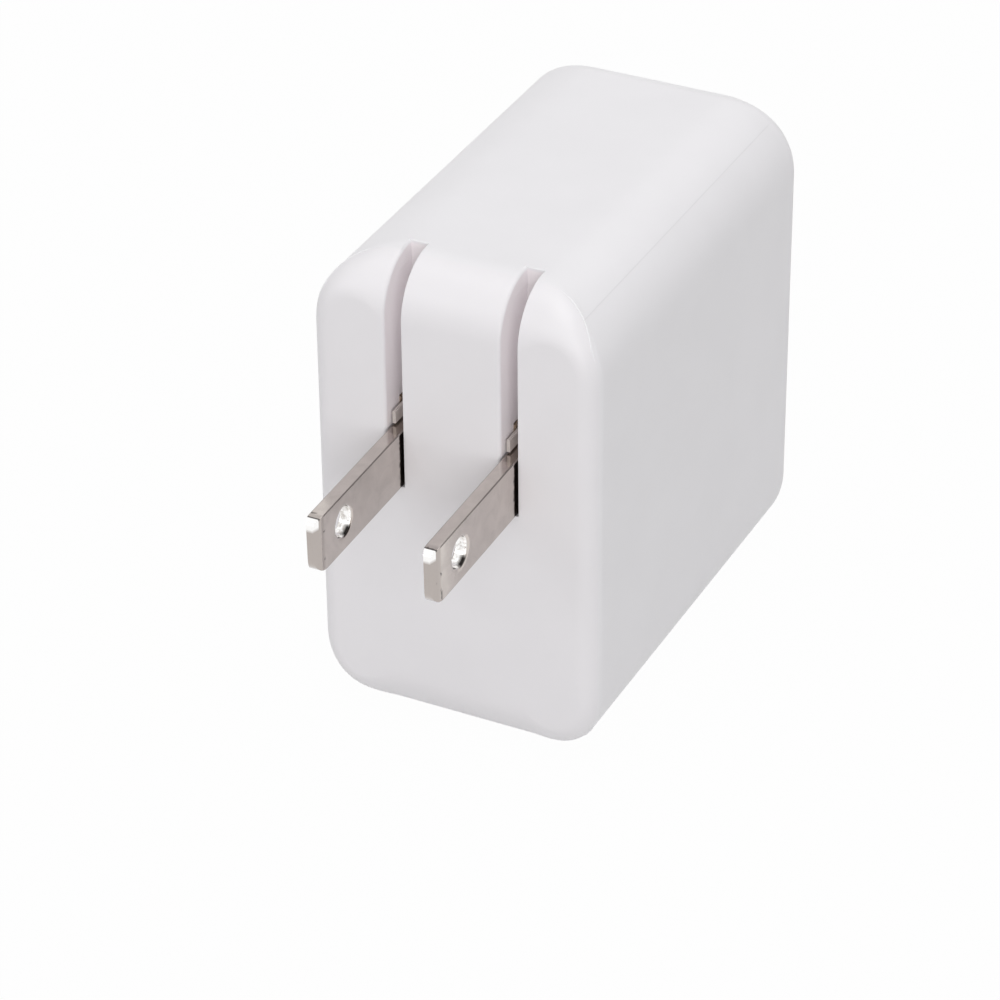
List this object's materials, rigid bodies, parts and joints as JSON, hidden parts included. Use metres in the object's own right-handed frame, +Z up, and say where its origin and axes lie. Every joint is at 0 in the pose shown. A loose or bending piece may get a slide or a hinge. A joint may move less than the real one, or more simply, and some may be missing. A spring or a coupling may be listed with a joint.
{
  "type": "laptop power adapter",
  "caption": "Compact plug-in power adapter with folding flat mains blades at the front and USB sockets at the back of a rounded white housing.",
  "frame": {"origin": "on the floor plane, under the middle of the box that holds the housing and the extended blades", "axes": "+X across the two blades, -Y out of the blade face towards the wall socket, +Z up, in the direction the blades fold"},
  "size_m": [0.0316, 0.069, 0.0538],
  "materials": {
    "shell_plastic": "satin white",
    "cover_plastic": "satin white",
    "nickel": "nickel plated",
    "holder_plastic": "moulded",
    "retainer_plastic": "moulded",
    "spring_steel": "spring temper",
    "screw_steel": "zinc plated",
    "bronze": "phosphor bronze",
    "board": "solder mask",
    "port_steel": "nickel plated",
    "black_plastic": "moulded",
    "white_plastic": "moulded",
    "gold": "gold plated",
    "ferrite": "sintered",
    "copper": "enamelled copper",
    "tape": "wound copper under yellow tape",
    "capacitor_sleeve": "shrink sleeve",
    "film_cap": "potted box",
    "blue_epoxy": "epoxy dip",
    "can_aluminium": "drawn can",
    "heat_aluminium": "rolled sheet",
    "thermal": "silicone",
    "sheet": "film"
  },
  "bodies": {
    "housing": {"main_shell": "shell_plastic", "front_cover": "cover_plastic", "blade_retainer": "retainer_plastic", "retainer_screws": "screw_steel", "detent_spring": "spring_steel", "left_contact_spring": "bronze", "right_contact_spring": "bronze", "input_board": "board", "main_board": "board", "port_board": "board", "usb_c_shell": "port_steel", "usb_c_tongue": "black_plastic", "usb_c_contacts": "gold", "usb_a_shell": "port_steel", "usb_a_tongue": "white_plastic", "usb_a_contacts": "gold", "transformer_core_lower": "ferrite", "transformer_core_upper": "ferrite", "transformer_bobbin": "black_plastic", "transformer_winding": "tape", "front_bulk_capacitor": "capacitor_sleeve", "rear_bulk_capacitor": "capacitor_sleeve", "x_capacitor": "film_cap", "choke_core": "ferrite", "choke_winding": "copper", "fuse": "black_plastic", "varistor": "blue_epoxy", "bridge_rectifier": "black_plastic", "power_switch": "black_plastic", "optocoupler": "black_plastic", "y_capacitor": "blue_epoxy", "left_output_capacitor": "can_aluminium", "right_output_capacitor": "can_aluminium", "buck_inductor": "ferrite", "port_controller": "black_plastic", "sync_rectifier": "black_plastic", "heat_spreader": "heat_aluminium", "thermal_pad": "thermal", "insulating_sheet": "sheet"},
    "folding_blades": {"left_blade": "nickel", "right_blade": "nickel", "blade_holder": "holder_plastic"}
  },
  "joints": [
    {"name": "blade_fold", "type": "hinge", "parent": "housing", "child": "folding_blades", "pos_m": [0, -0.01358, 0.0323], "axis": [-1, 0, 0], "range_deg": [0, 91.3]}
  ]
}
